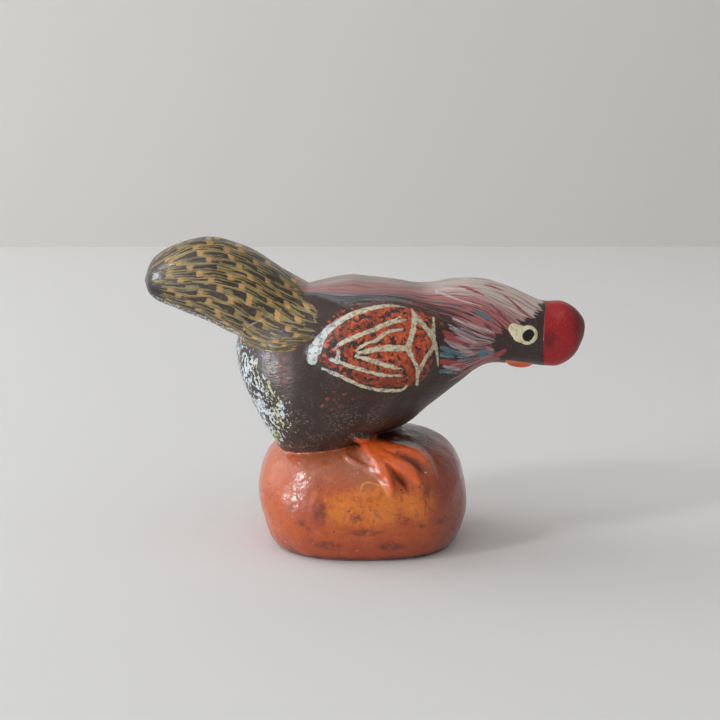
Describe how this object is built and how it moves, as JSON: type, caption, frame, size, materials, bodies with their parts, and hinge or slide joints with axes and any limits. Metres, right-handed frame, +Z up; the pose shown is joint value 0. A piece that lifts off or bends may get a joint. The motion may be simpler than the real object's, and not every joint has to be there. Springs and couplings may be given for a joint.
{
  "type": "clay hen figurine",
  "caption": "Small painted clay hen pecking with her head down and tail up, fixed on a glossy rock with a flat underside.",
  "frame": {"origin": "centre of the bounding box's bottom, on the flat underside of the rock", "axes": "+Z up, +X the way the hen faces, from the tail to the comb, +Y to her left"},
  "size_m": [0.06, 0.0276, 0.0422],
  "materials": {
    "rock_glaze": "glossy mottled orange-brown glaze",
    "body_paint": "dark brown paint under varnish",
    "tail_paint": "olive brush strokes over dark brown, varnished",
    "hackle_paint": "pink, grey and teal brush strokes over dark brown, varnished",
    "face_paint": "dark grey-brown paint under varnish",
    "comb_paint": "red paint under varnish",
    "beak_paint": "orange paint under varnish",
    "wing_paint": "rust red with cream strokes, varnished",
    "eye_paint": "thick cream paint with a black pupil",
    "leg_glaze": "glossy orange glaze"
  },
  "bodies": {
    "root": {"rock": "rock_glaze", "torso": "body_paint", "tail": "tail_paint", "neck": "hackle_paint", "head": "face_paint", "comb": "comb_paint", "beak": "beak_paint", "wing_right": "wing_paint", "wing_left": "wing_paint", "eye_right": "eye_paint", "eye_left": "eye_paint", "leg_right": "leg_glaze", "leg_left": "leg_glaze", "toe_upper_right": "leg_glaze", "toe_upper_left": "leg_glaze", "toe_middle_right": "leg_glaze", "toe_middle_left": "leg_glaze", "toe_lower_right": "leg_glaze", "toe_lower_left": "leg_glaze"}
  },
  "joints": []
}
